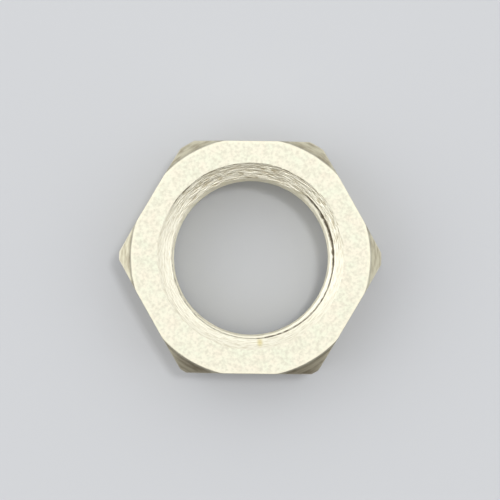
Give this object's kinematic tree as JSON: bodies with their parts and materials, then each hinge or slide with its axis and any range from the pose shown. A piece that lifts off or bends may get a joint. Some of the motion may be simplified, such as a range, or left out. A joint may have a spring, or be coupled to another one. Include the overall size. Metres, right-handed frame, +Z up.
{
  "type": "pinion nut",
  "caption": "Thin hexagon lock nut with chamfered corners and a countersunk right-hand threaded hole, which clamps a pinion or gear on its shaft.",
  "frame": {"origin": "centre of the lower face, on the thread axis", "axes": "+Z up along the thread axis, +X through a corner of the hexagon, +Y square to a flat"},
  "size_m": [0.0286, 0.0254, 0.0079],
  "materials": {
    "steel": "tumbled satin, with turning marks on the chamfers and countersinks"
  },
  "bodies": {
    "root": {"nut": "steel"}
  },
  "joints": []
}
